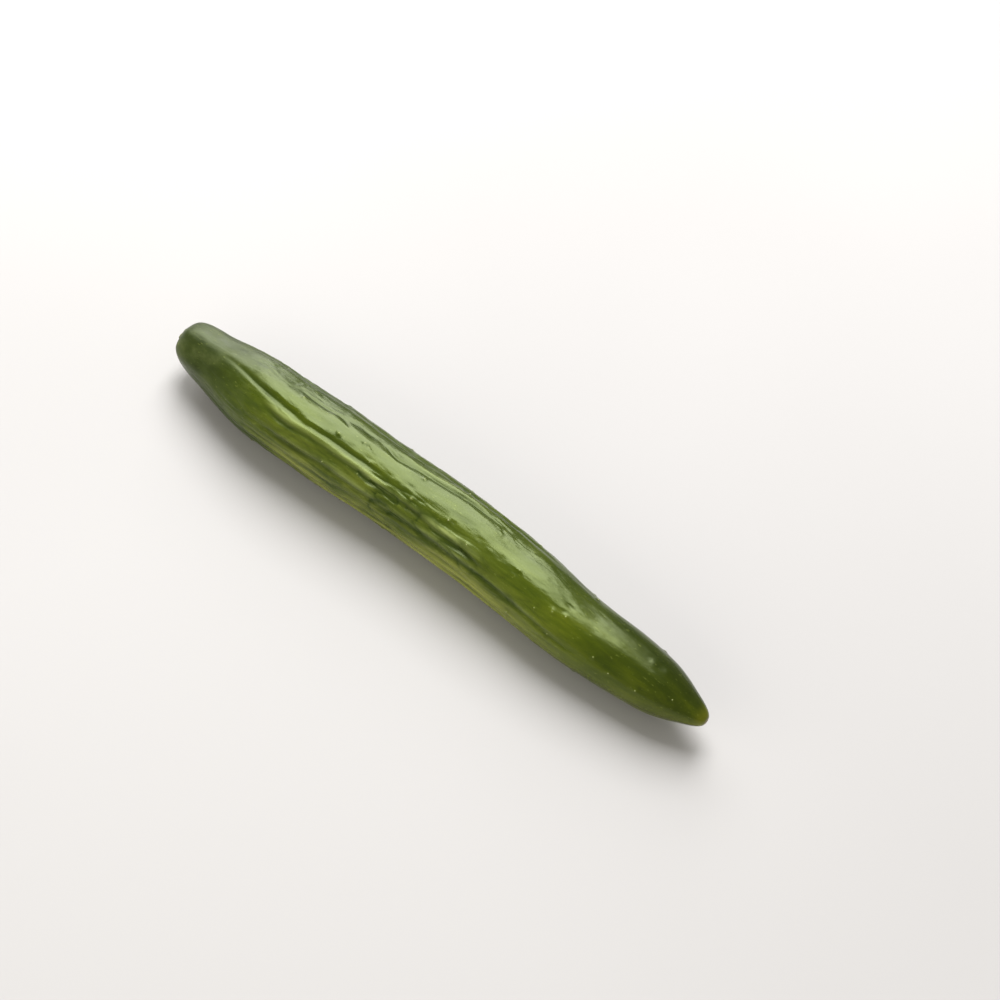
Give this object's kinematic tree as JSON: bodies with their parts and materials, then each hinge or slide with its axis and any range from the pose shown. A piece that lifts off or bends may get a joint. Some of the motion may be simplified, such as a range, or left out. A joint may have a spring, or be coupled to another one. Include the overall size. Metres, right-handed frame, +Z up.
{
  "type": "cucumber",
  "caption": "Slender whole cucumber, a lightly ridged and warty bar that narrows to a blunt stem end and a rounded blossom tip, lying on its side.",
  "frame": {"origin": "middle of the outer box, on the surface that the fruit rests on", "axes": "+X along the fruit from the stem end to the blossom end, +Z up, +Y towards its back"},
  "size_m": [0.201, 0.0262, 0.0247],
  "materials": {
    "skin": "satin"
  },
  "bodies": {
    "root": {"cucumber": "skin"}
  },
  "joints": []
}
